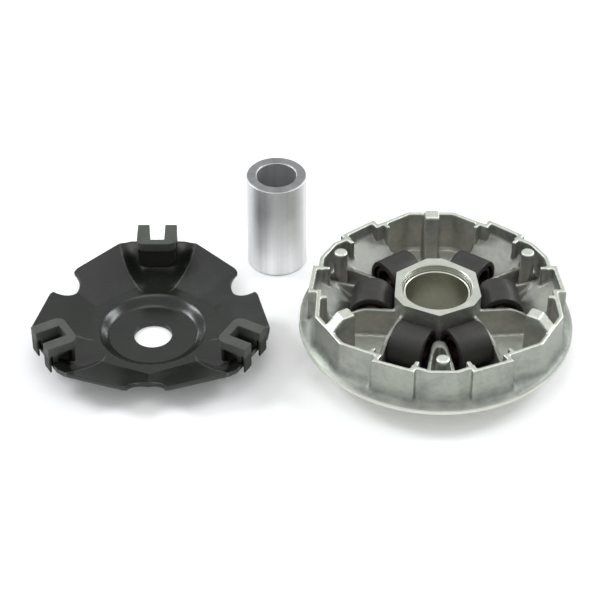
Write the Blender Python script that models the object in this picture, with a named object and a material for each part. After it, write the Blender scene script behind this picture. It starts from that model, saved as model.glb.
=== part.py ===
# CVT pulley set: the driving half of a scooter's belt variator, laid out in its
# three loose items on a flat surface.
#   1. drive face: cast sheave half, ramp side up, with its bush and six rollers
#   2. ramp plate: black pressed-steel plate with three plastic slide pieces
#   3. boss sleeve: the plain turned tube that the drive face slides on
# Units are metres, +Z is up, z = 0 is the surface that the set lies on.
import bpy
import bmesh
import math
from mathutils import Vector, Matrix

MM = 0.001
GAP = 0.3                      # clearance kept between pieces that touch, mm

# ---------------------------------------------------------------- driving sizes (mm, degrees)
DRIVE_X, DRIVE_Y = 64.125, -7.4        # axis of the drive face
PLATE_X, PLATE_Y = -72.88, -5.2        # axis of the ramp plate
SLEEVE_X, SLEEVE_Y = -13.0, 58.4       # axis of the boss sleeve
SECTORS = (30.0, 150.0, 270.0)         # centre of each pair of rollers
GUIDES = (90.0, 210.0, 330.0)          # the three guide posts

# drive face casting
FLANGE_R = 66.0
FLANGE_Z0, FLANGE_Z1 = 12.0, 14.0      # edge of the sheave
LEDGE_Z = 15.7                         # sheave's upper surface where it meets the wall
FLOOR_Z = 11.8                         # floor of the three empty bays
TRACK_Z = 10.1                         # floor of the roller tracks near the hub
RIM_Z = 33.2                           # top of the outer wall
HUB_Z = 34.5                           # machined top of the hub
HUB_FOOT_R = 20.0                      # underside ring that it stands on
HUB_R = 21.9                           # hub corners (nine sides)
HUB_CORNERS = (270, 320, 340, 30, 80, 100, 150, 200, 220)
WALL_T = 2.3
BORE_R = 16.3
CBORE_R, CBORE_D = 16.8, 2.9
GROOVE_R, GROOVE_Z0, GROOVE_Z1 = 17.5, 31.75, 32.55
RIM_C = 12.6                           # half angle of the wall behind a column
RIM_B = 32.4                           # outer angle of the wall behind a roller
RIM_A = 49.3                           # start of the flat behind a guide post
R_C, R_CM, R_B, R_A0, R_A1 = 59.0, 60.9, 61.8, 57.6, 62.1

# guide posts
POST_HALF = 3.4
POST_R0, POST_R1, POST_R2 = 47.5, 54.0, 60.6
POST_Z = 39.2

# columns between the rollers
COLUMN_RHO, COLUMN_R, COLUMN_Z = 52.5, 3.35, 35.0

# roller tracks
ROLLER_DIR = 25.0                      # each roller runs this far off the sector's middle
ROLLER_R, ROLLER_L = 10.5, 17.0
ROLLER_WALL = 2.6
ROLLER_RHO = 30.7                      # it rests against a flat of the hub
ROLLER_CZ = TRACK_Z + GAP + ROLLER_R
RAMP_DEG = 34.0
ROLLER_TRAVEL = 13.3                   # along the ramp
SIDE_OFF0, SIDE_OFF1 = 9.25, 11.35     # the thin wall beside each track
SIDE_Z = 27.0

# bush
BUSH_RI, BUSH_RO = 15.05, 16.0
BUSH_Z0, BUSH_Z1 = 1.0, 31.3

# boss sleeve
SLEEVE_RO, SLEEVE_RI, SLEEVE_L = 15.0, 9.95, 52.5
SLEEVE_CH = 0.6

# ramp plate
PLATE_T = 2.5
HOLE_R = 9.15
DISC_R = 20.4
RIDGE_R, RIDGE_H = 27.0, 3.8           # ridge round the dish, height over the disc
CREASE_A = 30.6                        # distance of the wing's crease from the axis
WING_DIR = 22.5                        # the wing's two facets face this far off its middle
WING_TAN = math.tan(math.radians(22.5))
EDGE_R, EDGE_HALF = 57.2, 13.5         # straight edge behind each slide piece
KINK = (19.4, 54.9)
LIP_R, LIP_DEG = 53.4, 12.5
NOTCH_RHO, NOTCH_R = 53.6, 8.9
TROUGH_EDGE = 13.7                     # height of the straight edge over the disc
TROUGH = ((27.0, 4.2), (29.2, 7.4), (31.5, 9.2), (34.4, 11.2), (39.2, 14.3), (46.0, 17.1), (54.9, 19.4))   # distance out, half width

# slide pieces
SLIDE_R0, SLIDE_R1 = 42.6, 58.7
SLIDE_HALF, SLOT_HALF, SLOT_R = 9.8, 3.9, 46.6
WEB_R0, WEB_R1, WEB_HALF = 45.0, 46.5, 9.3   # the web across, under the head
SLOT_WALL = 5.7                        # outer side of the walls that line the slot
HOOK_Z = 10.6                          # the two hooks reach down over the plate's edge to this height
SLIDE_TOP, SLIDE_SLAB = 25.2, 4.8      # top height over the surface, thickness of its head


def pol(r, deg):
    a = math.radians(deg)
    return (r * math.cos(a), r * math.sin(a))


def turn(points, deg):
    c, s = math.cos(math.radians(deg)), math.sin(math.radians(deg))
    return [(x * c - y * s, x * s + y * c) for x, y in points]


# ---------------------------------------------------------------- scene
for old in list(bpy.data.objects):
    bpy.data.objects.remove(old, do_unlink=True)


def material(name, colour, rough, metal):
    m = bpy.data.materials.new(name)
    m.use_nodes = True
    b = m.node_tree.nodes["Principled BSDF"]
    b.inputs["Base Color"].default_value = (*colour, 1.0)
    b.inputs["Roughness"].default_value = rough
    b.inputs["Metallic"].default_value = metal
    return m


ALLOY = material("cast_alloy", (0.60, 0.61, 0.58), 0.48, 0.9)
STEEL = material("turned_steel", (0.66, 0.66, 0.68), 0.28, 1.0)
BUSH = material("bush_steel", (0.42, 0.42, 0.36), 0.35, 1.0)
BLACK = material("black_coat", (0.012, 0.012, 0.012), 0.28, 0.0)
PLASTIC = material("slide_plastic", (0.045, 0.046, 0.042), 0.55, 0.0)
NYLON = material("roller_nylon", (0.014, 0.014, 0.014), 0.40, 0.0)
CORE = material("roller_core", (0.30, 0.24, 0.19), 0.45, 0.9)


def add(name, bm, mat=None):
    """A new object from a bmesh in millimetres."""
    bmesh.ops.recalc_face_normals(bm, faces=bm.faces[:])
    if bm.calc_volume(signed=True) < 0:
        bmesh.ops.reverse_faces(bm, faces=bm.faces[:])
    mesh = bpy.data.meshes.new(name)
    bm.to_mesh(mesh)
    bm.free()
    ob = bpy.data.objects.new(name, mesh)
    bpy.context.scene.collection.objects.link(ob)
    if mat:
        mesh.materials.append(mat)
    return ob


def prism(name, outline, z0, z1, mat=None, tops=None, lows=None):
    """Upright prism; tops and lows give a height for each corner instead of z1 and z0."""
    bm = bmesh.new()
    low = [bm.verts.new((x, y, lows[i] if lows else z0)) for i, (x, y) in enumerate(outline)]
    high = [bm.verts.new((x, y, tops[i] if tops else z1)) for i, (x, y) in enumerate(outline)]
    n = len(outline)
    bm.faces.new(low)
    bm.faces.new(high)
    for i in range(n):
        j = (i + 1) % n
        bm.faces.new((low[i], low[j], high[j], high[i]))
    if tops or lows:
        bmesh.ops.triangulate(bm, faces=bm.faces[:])
    return add(name, bm, mat)


def slab(name, profile, off0, off1, deg):
    """A side profile (along, z) standing in the direction deg, from off0 to off1 sideways."""
    bm = bmesh.new()
    ux, uy = pol(1.0, deg)
    vx, vy = -uy, ux
    a = [bm.verts.new((s * ux + off0 * vx, s * uy + off0 * vy, z)) for s, z in profile]
    b = [bm.verts.new((s * ux + off1 * vx, s * uy + off1 * vy, z)) for s, z in profile]
    n = len(profile)
    bm.faces.new(a)
    bm.faces.new(b)
    for i in range(n):
        j = (i + 1) % n
        bm.faces.new((a[i], a[j], b[j], b[i]))
    return add(name, bm)


def turned(name, profile, n, mat=None, phase=0.0):
    """A closed profile (r, z) with every r > 0 turned about Z."""
    bm = bmesh.new()
    rings = []
    for k in range(n):
        a = 2 * math.pi * (k + phase) / n
        rings.append([bm.verts.new((r * math.cos(a), r * math.sin(a), z)) for r, z in profile])
    m = len(profile)
    for k in range(n):
        p, q = rings[k], rings[(k + 1) % n]
        for i in range(m):
            j = (i + 1) % m
            bm.faces.new((p[i], q[i], q[j], p[j]))
    return add(name, bm, mat)


def rod(name, profile, n, at=(0.0, 0.0)):
    """A solid turned piece: profile (r, z) from bottom to top, closed by flat ends."""
    bm = bmesh.new()
    rings = []
    for r, z in profile:
        rings.append([bm.verts.new((at[0] + r * math.cos(2 * math.pi * k / n),
                                    at[1] + r * math.sin(2 * math.pi * k / n), z)) for k in range(n)])
    for p, q in zip(rings, rings[1:]):
        for k in range(n):
            j = (k + 1) % n
            bm.faces.new((p[k], p[j], q[j], q[k]))
    bm.faces.new(rings[0])
    bm.faces.new(rings[-1])
    return add(name, bm)


def combine(ob, other, op):
    """Boolean of ob with other, applied; other is removed."""
    mod = ob.modifiers.new("cut", "BOOLEAN")
    mod.operation = op
    mod.solver = "EXACT"
    mod.object = other
    bpy.context.view_layer.update()
    dg = bpy.context.evaluated_depsgraph_get()
    mesh = bpy.data.meshes.new_from_object(ob.evaluated_get(dg))
    ob.modifiers.remove(mod)
    old = ob.data
    ob.data = mesh
    mesh.name = ob.name
    bpy.data.meshes.remove(old)
    bpy.data.objects.remove(other, do_unlink=True)


def offset_in(outline, d):
    """Inward offset of a counter-clockwise outline, with mitred corners."""
    out = []
    n = len(outline)
    for i in range(n):
        p0, p1, p2 = (Vector(outline[i - 1]), Vector(outline[i]), Vector(outline[(i + 1) % n]))
        e0, e1 = (p1 - p0).normalized(), (p2 - p1).normalized()
        n0, n1 = Vector((-e0.y, e0.x)), Vector((-e1.y, e1.x))
        b = (n0 + n1).normalized()
        out.append(tuple(p1 + b * (d / max(b.dot(n0), 0.35))))
    return out


def tidy(ob):
    """Dissolves the needless points that the cuts leave on flat faces."""
    bm = bmesh.new()
    bm.from_mesh(ob.data)
    bmesh.ops.remove_doubles(bm, verts=bm.verts[:], dist=0.002)
    bmesh.ops.dissolve_limit(bm, angle_limit=math.radians(0.05), verts=bm.verts[:], edges=bm.edges[:])
    bmesh.ops.triangulate(bm, faces=bm.faces[:])
    bm.to_mesh(ob.data)
    bm.free()


def finish(ob, at, sharp=30.0):
    """Millimetres to metres, shading, place."""
    ob.data.transform(Matrix.Scale(MM, 4))
    ob.data.shade_smooth()
    ob.data.set_sharp_from_angle(angle=math.radians(sharp))
    ob.location = (at[0] * MM, at[1] * MM, (at[2] if len(at) > 2 else 0.0) * MM)


# ---------------------------------------------------------------- drive face casting
def rim_outline():
    pts = []
    for c in SECTORS:
        for r, t in ((R_A0, -RIM_B), (R_B, -RIM_B), (R_B, -RIM_C), (R_C, -RIM_C), (R_CM, -6.0), (R_CM, 6.0),
                     (R_C, RIM_C), (R_B, RIM_C), (R_B, RIM_B), (R_A0, RIM_B), (R_A1, RIM_A), (R_A1, 120.0 - RIM_A)):
            pts.append(pol(r, c + t))
    return pts


RIM_OUT = rim_outline()
RIM_IN = offset_in(RIM_OUT, WALL_T)
RIM_MID = offset_in(RIM_OUT, WALL_T * 0.5)

U_WALL = ((26.2, 0.0), (26.5, 1.3), (27.5, 2.5), (29.0, 3.4), (31.0, 4.1), (37.0, 5.3), (43.0, 6.3), (49.0, 6.9),
          (57.5, 7.2))


def u_outline(tip, thick, end):
    """Outline of the wall round a column, pointing along +X, from its tip out to end."""
    side = [(r, w) for r, w in U_WALL]
    if thick:
        side = [(tip, 0.0), (tip + 0.3, 0.9), (tip + 1.3, 1.7), (35.0, 2.8), (40.0, 3.9), (46.0, 4.7), (50.0, 5.0)]
    side = side + [(end, side[-1][1])]
    return [(r, -w) for r, w in reversed(side)] + [(r, w) for r, w in side[1:]]


def ramp_z(a):
    return (ROLLER_CZ - (ROLLER_R + GAP) / math.cos(math.radians(RAMP_DEG))
            + (a - ROLLER_RHO) * math.tan(math.radians(RAMP_DEG)))


face = turned("drive_face", [(BORE_R, 0.0), (HUB_FOOT_R, 0.0), (FLANGE_R, FLANGE_Z0), (FLANGE_R, FLANGE_Z1),
                             (61.5, LEDGE_Z), (BORE_R, LEDGE_Z)], 72, ALLOY)
combine(face, prism("c", RIM_IN, FLOOR_Z, 60.0), "DIFFERENCE")

wall = prism("w", RIM_OUT, FLOOR_Z + 1.0, RIM_Z)
combine(wall, prism("c", RIM_IN, 0.0, 60.0), "DIFFERENCE")
combine(face, wall, "UNION")

# tracks, sunk a little into the floor, then the ramps
for c in SECTORS:
    for s in (-1, 1):
        d = c + s * ROLLER_DIR
        lo, hi = (-8.9, SIDE_OFF0) if s > 0 else (-SIDE_OFF0, 8.9)
        combine(face, slab("c", [(17.0, TRACK_Z), (45.0, TRACK_Z), (45.0, 30.0), (17.0, 30.0)], lo, hi, d), "DIFFERENCE")
for c in SECTORS:
    pair = None
    for s in (-1, 1):
        d = c + s * ROLLER_DIR
        lo, hi = (-16.0, SIDE_OFF0 + 1.0) if s > 0 else (-SIDE_OFF0 - 1.0, 16.0)
        z0 = TRACK_Z - 1.0
        a0 = ROLLER_RHO + (z0 - ramp_z(ROLLER_RHO)) / math.tan(math.radians(RAMP_DEG))
        wedge = slab("w", [(a0, z0), (50.0, z0), (64.0, z0 + 3.6), (64.0, ramp_z(64.0))], lo, hi, d)
        # each ramp keeps to its own half of the sector
        half = [(20.0, 0.0), (70.0, 0.0), (70.0, 40.0 * s), (20.0, 40.0 * s)]
        combine(wedge, prism("h", turn(half, c), 0.0, 60.0), "INTERSECT")
        combine(wedge, prism("m", RIM_MID, 0.0, 60.0), "INTERSECT")
        combine(face, wedge, "UNION")
    # the wall round the column, its top falling outward, and the pocket inside it
    u = u_outline(26.2, False, 58.6)
    tops = [23.6 - max(0.0, r - 27.0) * 0.11 for r, w in u]
    lows = [TRACK_Z - 0.6 + max(0.0, r - 44.0) * 0.16 for r, w in u]
    combine(face, prism("u", turn(u, c), 0.0, 0.0, tops=tops, lows=lows), "UNION")
    combine(face, prism("c", turn(u_outline(30.8, True, 56.6), c), FLOOR_Z, 40.0), "DIFFERENCE")

# thin walls beside the tracks, with the tab at the rim
side = [(15.0, TRACK_Z - 0.8), (50.0, TRACK_Z - 0.8), (55.9, TRACK_Z + 1.1), (55.9, RIM_Z), (51.9, RIM_Z), (51.6, 20.5), (49.5, 19.2),
        (46.5, 19.9), (43.0, 21.9), (39.5, 24.3), (36.5, 26.0), (33.0, SIDE_Z), (15.0, SIDE_Z)]
for c in SECTORS:
    for s in (-1, 1):
        lo, hi = (SIDE_OFF0, SIDE_OFF1) if s > 0 else (-SIDE_OFF1, -SIDE_OFF0)
        combine(face, slab("s", side, lo, hi, c + s * ROLLER_DIR), "UNION")
        # short tab where the wall steps in behind the column
        p0, p1 = Vector(pol(60.4, c + s * 13.6)), Vector(pol(53.3, c + s * 12.4))
        e = (p1 - p0).normalized()
        q = Vector((-e.y, e.x)) * 1.1
        combine(face, prism("t", [tuple(p0 - q), tuple(p1 - q), tuple(p1 + q), tuple(p0 + q)], TRACK_Z + 1.6,
                            RIM_Z + 0.001), "UNION")
    col = rod("k", [(COLUMN_R + 0.5, FLOOR_Z - 1.0), (COLUMN_R, 20.0), (COLUMN_R, COLUMN_Z - 1.0),
                    (COLUMN_R - 1.0, COLUMN_Z)], 16, pol(COLUMN_RHO, c))
    combine(face, col, "UNION")

for g in GUIDES:
    post = slab("p", [(POST_R0 - 0.6, FLOOR_Z - 1.0), (POST_R2, FLOOR_Z - 1.0), (POST_R2, RIM_Z - 0.4),
                      (POST_R1, POST_Z), (POST_R0 + 0.7, POST_Z), (POST_R0, POST_Z - 0.8)], -POST_HALF, POST_HALF, g)
    combine(face, post, "UNION")

hub = prism("h", [pol(HUB_R, a) for a in sorted(HUB_CORNERS)], 4.0, HUB_Z)
combine(face, hub, "UNION")
combine(face, rod("b", [(BORE_R, -5.0), (BORE_R, 60.0)], 48), "DIFFERENCE")
combine(face, rod("b", [(CBORE_R, HUB_Z - CBORE_D), (CBORE_R, 60.0)], 48), "DIFFERENCE")
combine(face, rod("b", [(GROOVE_R, GROOVE_Z0), (GROOVE_R, GROOVE_Z1)], 48), "DIFFERENCE")
tidy(face)
finish(face, (DRIVE_X, DRIVE_Y))

bush = turned("hub_bush", [(BUSH_RI, BUSH_Z0 + 0.5), (BUSH_RI + 0.4, BUSH_Z0), (BUSH_RO, BUSH_Z0), (BUSH_RO, BUSH_Z1),
                           (BUSH_RI + 0.5, BUSH_Z1), (BUSH_RI, BUSH_Z1 - 0.5)], 48, BUSH)
finish(bush, (DRIVE_X, DRIVE_Y))

# ---------------------------------------------------------------- rollers
shell_mesh = None
core_mesh = None
num = 0
for c in SECTORS:
    for s in (-1, 1):
        num += 1
        d = c + s * ROLLER_DIR
        x, y = pol(ROLLER_RHO, d)
        place = Matrix.Translation(((DRIVE_X + x) * MM, (DRIVE_Y + y) * MM, ROLLER_CZ * MM)) @ \
            Matrix.Rotation(math.radians(d + 90.0), 4, "Z") @ Matrix.Rotation(math.radians(90.0), 4, "Y")
        h = ROLLER_L / 2
        shell = turned("roller_shell_%d" % num,
                       [(ROLLER_R - ROLLER_WALL, -h), (ROLLER_R - 0.8, -h), (ROLLER_R, -h + 0.8), (ROLLER_R, h - 0.8),
                        (ROLLER_R - 0.8, h), (ROLLER_R - ROLLER_WALL, h)], 28, NYLON)
        finish(shell, (0, 0))
        shell.matrix_world = place
        h = ROLLER_L / 2 - 1.2
        core = turned("roller_core_%d" % num,
                      [(5.0, -h), (ROLLER_R - ROLLER_WALL - GAP, -h), (ROLLER_R - ROLLER_WALL - GAP, h), (5.0, h)], 20, CORE)
        finish(core, (0, 0))
        core.matrix_world = place

# ---------------------------------------------------------------- boss sleeve
k = SLEEVE_CH
sleeve = turned("boss_sleeve", [(SLEEVE_RI, k), (SLEEVE_RI + k, 0.0), (SLEEVE_RO - k, 0.0), (SLEEVE_RO, k),
                                (SLEEVE_RO, SLEEVE_L - k), (SLEEVE_RO - k, SLEEVE_L), (SLEEVE_RI + k, SLEEVE_L),
                                (SLEEVE_RI, SLEEVE_L - k)], 48, STEEL)
finish(sleeve, (SLEEVE_X, SLEEVE_Y))


# ---------------------------------------------------------------- ramp plate
def smooth(t):
    t = min(1.0, max(0.0, t))
    return t * t * (3.0 - 2.0 * t)


def soft_ramp(d, w):
    """max(0, d) with a rounded knee of half width w."""
    if d <= -w:
        return 0.0
    if d >= w:
        return d
    return (d + w) ** 2 / (4.0 * w)


def trough_half(rad):
    """Half width of the trough under a slide piece: narrow at the ridge, then widening to the plate's corners."""
    pts = TROUGH
    if rad <= pts[0][0]:
        return pts[0][1]
    for (r0, h0), (r1, h1) in zip(pts, pts[1:]):
        if rad <= r1:
            return h0 + (h1 - h0) * (rad - r0) / (r1 - r0)
    return pts[-1][1]


def plate_height(x, y):
    """Height of the plate's upper face over its central disc."""
    rho = math.hypot(x, y)
    deg = math.degrees(math.atan2(y, x))
    # dish wall: a rounded S from the disc to the ridge
    dish = RIDGE_H * smooth((rho - DISC_R) / (RIDGE_R - DISC_R))
    # angle from the nearest wing's middle
    t = min(((deg - c + 180.0) % 360.0 - 180.0 for c in SECTORS), key=abs)
    a = rho * math.cos(math.radians(abs(t) - WING_DIR))
    wing = dish + WING_TAN * soft_ramp(a - CREASE_A, 1.2)
    # trough under each slide piece
    g = min(((deg - c + 180.0) % 360.0 - 180.0 for c in GUIDES), key=abs)
    lat, rad = rho * math.sin(math.radians(g)), rho * math.cos(math.radians(g))
    if rad < 24.0:
        return wing
    u = min(1.0, abs(lat) / trough_half(rad))
    mid = RIDGE_H + 0.7 * smooth((rad - 28.0) / 12.0) + (TROUGH_EDGE - RIDGE_H - 0.7) * smooth((rad - 41.0) / (EDGE_R - 40.0))
    low = wing + (mid - wing) * smooth((1.0 - u) / 0.55)
    return wing + (low - wing) * smooth((rad - 26.0) / 5.0)


def plate_edge(deg):
    """Radius of the plate's outline, before its notches are cut."""
    g = abs(min(((deg - c + 180.0) % 360.0 - 180.0 for c in GUIDES), key=abs))
    corners = [(EDGE_R, 0.0), (EDGE_R, EDGE_HALF), (KINK[1], KINK[0]), pol(LIP_R, 60.0 - LIP_DEG), pol(LIP_R, 60.0 + LIP_DEG)]
    c, s = math.cos(math.radians(g)), math.sin(math.radians(g))
    for (x0, y0), (x1, y1) in zip(corners, corners[1:]):
        # ray from the axis against this straight stretch
        dx, dy = x1 - x0, y1 - y0
        den = c * dy - s * dx
        if abs(den) < 1e-9:
            continue
        r = (x0 * dy - y0 * dx) / den
        k = (r * c - x0) / dx if abs(dx) > abs(dy) else (r * s - y0) / dy
        if -1e-6 <= k <= 1.0 + 1e-6:
            return r
    return EDGE_R


# rays at these angles off each slide piece's middle, both ways, so that the outline's corners lie on rays
HALF_RAYS = (0.0, 4.5, 9.0, math.degrees(math.atan2(EDGE_HALF, EDGE_R)), 16.4, math.degrees(math.atan2(*KINK)),
             24.0, 29.0, 34.0, 39.0, 43.5, 60.0 - LIP_DEG, 52.0, 56.0, 60.0)
PLATE_RAYS = sorted({round((g + s * t) % 360.0, 6) for g in GUIDES for t in HALF_RAYS for s in (-1, 1)})
PLATE_RINGS = (DISC_R, 22.6, 24.8, RIDGE_R, 29.6, 32.0, 36.0, 41.0, 46.5)


def plate_mesh(angles, rings):
    """Upper and lower skins on rings and rays, joined at the hole and at the outline."""
    bm = bmesh.new()
    top, low = [], []
    for deg in angles:
        edge = plate_edge(deg)
        radii = [HOLE_R] + list(rings) + [edge - 2.4, edge]
        up, dn = [], []
        for r in radii:
            x, y = pol(r, deg)
            z = PLATE_T + plate_height(x, y)
            up.append(bm.verts.new((x, y, z)))
            # the sheet keeps its thickness across the slope
            e = 0.3
            x1, y1 = pol(r + e, deg)
            x0, y0 = pol(r - e, deg)
            slope = (plate_height(x1, y1) - plate_height(x0, y0)) / (2 * e)
            dn.append(bm.verts.new((x, y, z - PLATE_T * (math.sqrt(1 + slope * slope) if r > DISC_R else 1.0))))
        top.append(up)
        low.append(dn)
    m = len(top[0])
    for i in range(len(angles)):
        j = (i + 1) % len(angles)
        for k in range(m - 1):
            bm.faces.new((top[i][k], top[i][k + 1], top[j][k + 1], top[j][k]))
            bm.faces.new((low[i][k], low[j][k], low[j][k + 1], low[i][k + 1]))
        bm.faces.new((top[i][0], top[j][0], low[j][0], low[i][0]))
        bm.faces.new((top[i][-1], low[i][-1], low[j][-1], top[j][-1]))
    bmesh.ops.triangulate(bm, faces=bm.faces[:])
    return bm


plate = add("ramp_plate", plate_mesh(PLATE_RAYS, PLATE_RINGS), BLACK)
for c in SECTORS:
    arc = [(NOTCH_RHO + NOTCH_R * math.cos(math.radians(a)), NOTCH_R * math.sin(math.radians(a)))
           for a in range(90, 271, 12)]
    notch = [(70.0, NOTCH_R + 6.0), (NOTCH_RHO + 1.0, NOTCH_R + 1.2)] + arc + [(NOTCH_RHO + 1.0, -NOTCH_R - 1.2),
                                                                             (70.0, -NOTCH_R - 6.0)]
    combine(plate, prism("n", turn(notch, c), -5.0, 60.0), "DIFFERENCE")
finish(plate, (PLATE_X, PLATE_Y))

# ---------------------------------------------------------------- slide pieces
for i, g in enumerate(GUIDES):
    # head: a U open outward, round at its inner end
    inner = [(SLIDE_R0 + 3.2 * (1 - math.sin(math.radians(a))) + 0.0, (SLIDE_HALF - 3.2) + 3.2 * math.cos(math.radians(a)))
             for a in (0, 30, 60, 90)]
    head = ([(SLIDE_R1, SLOT_HALF), (SLIDE_R1, SLIDE_HALF)] + inner + [(x, -y) for x, y in reversed(inner)]
            + [(SLIDE_R1, -SLIDE_HALF), (SLIDE_R1, -SLOT_HALF), (SLOT_R, -SLOT_HALF), (SLOT_R, SLOT_HALF)])
    slide = prism("slide_piece_%d" % (i + 1), turn(head, g), SLIDE_TOP - SLIDE_SLAB, SLIDE_TOP, PLASTIC)
    # two outer legs on the plate, each with a hook over the plate's edge, and a web across under the inner end
    for sgn in (-1, 1):
        leg = [(EDGE_R - 3.2, sgn * (SLOT_HALF + 0.01)), (EDGE_R - 0.7, sgn * (SLOT_HALF + 0.01)),
               (EDGE_R - 0.7, sgn * (SLIDE_HALF - 0.01)), (EDGE_R - 3.2, sgn * (SLIDE_HALF - 0.01))]
        tops = [PLATE_T + plate_height(*turn([p], g)[0]) + GAP + 0.25 for p in leg]
        combine(slide, prism("l", turn(leg, g), SLIDE_TOP - 1.0, 0.0, tops=tops), "UNION")
        hook = [(EDGE_R + GAP, SLIDE_TOP - 1.0), (EDGE_R + GAP, HOOK_Z + 1.0), (EDGE_R + GAP + 0.3, HOOK_Z), (SLIDE_R1 - 0.4, HOOK_Z),
                (SLIDE_R1 - 0.01, HOOK_Z + 1.2), (SLIDE_R1 - 0.01, SLIDE_TOP - 1.0)]
        lo, hi = sorted((sgn * (SLOT_HALF + 0.01), sgn * (SLIDE_HALF - 0.01)))
        combine(slide, slab("h", hook, lo, hi, g), "UNION")
        # deep wall beside the slot, which guides the post
        rads = [WEB_R1 - 0.2 + k * (EDGE_R - 3.0 - WEB_R1 + 0.2) / 3.0 for k in range(4)]
        side = [(r, sgn * (SLOT_HALF + 0.02)) for r in rads] + [(r, sgn * SLOT_WALL) for r in reversed(rads)]
        tops = [PLATE_T + plate_height(*turn([p], g)[0]) + GAP + 0.25 for p in side]
        combine(slide, prism("s", turn(side, g), SLIDE_TOP - 1.0, 0.0, tops=tops), "UNION")
    lats = [WEB_HALF * k / 3.0 for k in range(-3, 4)]
    web = [(WEB_R0, w) for w in lats] + [(WEB_R1, w) for w in reversed(lats)]
    tops = [PLATE_T + plate_height(*turn([p], g)[0]) + GAP + 0.25 for p in web]
    combine(slide, prism("f", turn(web, g), SLIDE_TOP - 1.0, 0.0, tops=tops), "UNION")
    finish(slide, (PLATE_X, PLATE_Y))
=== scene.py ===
import math
import bpy
import bmesh
import numpy as np
from mathutils import Vector, Matrix


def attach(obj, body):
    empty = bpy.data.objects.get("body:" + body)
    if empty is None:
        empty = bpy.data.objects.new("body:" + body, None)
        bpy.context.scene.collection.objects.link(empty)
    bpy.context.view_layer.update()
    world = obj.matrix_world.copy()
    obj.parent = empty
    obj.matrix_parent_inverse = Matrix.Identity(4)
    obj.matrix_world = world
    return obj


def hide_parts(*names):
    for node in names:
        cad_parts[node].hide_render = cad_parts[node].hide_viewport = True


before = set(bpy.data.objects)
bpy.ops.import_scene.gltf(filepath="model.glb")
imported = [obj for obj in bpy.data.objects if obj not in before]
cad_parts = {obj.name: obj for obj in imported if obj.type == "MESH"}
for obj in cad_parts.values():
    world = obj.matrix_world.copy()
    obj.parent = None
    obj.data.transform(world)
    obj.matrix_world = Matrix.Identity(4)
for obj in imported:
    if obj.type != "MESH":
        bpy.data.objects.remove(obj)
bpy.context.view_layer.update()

MM = 0.001

# ---------------------------------------------------------------- sizes shared with the CAD, mm
DRIVE_X, DRIVE_Y = 64.125, -7.4
PLATE_X, PLATE_Y = -72.88, -5.2
SLEEVE_X, SLEEVE_Y = -13.0, 58.4
SECTORS = (30.0, 150.0, 270.0)
GUIDES = (90.0, 210.0, 330.0)
FLANGE_R, FLANGE_Z0, FLANGE_Z1, LEDGE_Z = 66.0, 12.0, 14.0, 15.7
FLOOR_Z, TRACK_Z, RIM_Z, HUB_Z = 11.8, 10.1, 33.2, 34.5
HUB_FOOT_R, HUB_R = 20.0, 21.9
HUB_CORNERS = (270, 320, 340, 30, 80, 100, 150, 200, 220)
WALL_T = 2.3
BORE_R, CBORE_R, CBORE_D = 16.3, 16.8, 2.9
GROOVE_R, GROOVE_Z0, GROOVE_Z1 = 17.5, 31.75, 32.55
RIM_C, RIM_B, RIM_A = 12.6, 32.4, 49.3
R_C, R_CM, R_B, R_A0, R_A1 = 59.0, 60.9, 61.8, 57.6, 62.1
POST_HALF, POST_R0, POST_R1, POST_R2, POST_Z = 3.4, 47.5, 54.0, 60.6, 39.2
COLUMN_RHO, COLUMN_R, COLUMN_Z = 52.5, 3.35, 35.0
ROLLER_DIR, ROLLER_R, ROLLER_L, ROLLER_WALL, ROLLER_RHO = 25.0, 10.5, 17.0, 2.6, 30.7
GAP = 0.3
ROLLER_CZ = TRACK_Z + GAP + ROLLER_R
RAMP_DEG = 34.0
SIDE_OFF0, SIDE_OFF1, SIDE_Z = 9.25, 11.35, 27.0
BUSH_RI, BUSH_RO, BUSH_Z0, BUSH_Z1 = 15.05, 16.0, 1.0, 31.3
SLEEVE_RO, SLEEVE_RI, SLEEVE_L, SLEEVE_CH = 15.0, 9.95, 52.5, 0.6
PLATE_T, HOLE_R, DISC_R, RIDGE_R, RIDGE_H = 2.5, 9.15, 20.4, 27.0, 3.8
CREASE_A, WING_DIR, WING_TAN = 30.6, 22.5, math.tan(math.radians(22.5))
EDGE_R, EDGE_HALF, KINK = 57.2, 13.5, (19.4, 54.9)
LIP_R, LIP_DEG, NOTCH_RHO, NOTCH_R = 53.4, 12.5, 53.6, 8.9
TROUGH_EDGE = 13.7
SLIDE_R0, SLIDE_R1, SLIDE_HALF, SLOT_HALF, SLOT_R = 42.6, 58.7, 9.8, 3.9, 46.6
SLIDE_TOP, SLIDE_SLAB, HOOK_Z = 25.2, 4.8, 10.6
WEB_R0, WEB_R1, WEB_HALF, SLOT_WALL = 45.0, 46.5, 9.3, 5.7
TROUGH = ((27.0, 4.2), (29.2, 7.4), (31.5, 9.2), (34.4, 11.2), (39.2, 14.3), (46.0, 17.1), (54.9, 19.4))


def pol(r, deg):
    a = math.radians(deg)
    return (r * math.cos(a), r * math.sin(a))


def turn(points, deg):
    c, s = math.cos(math.radians(deg)), math.sin(math.radians(deg))
    return [(x * c - y * s, x * s + y * c) for x, y in points]


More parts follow.
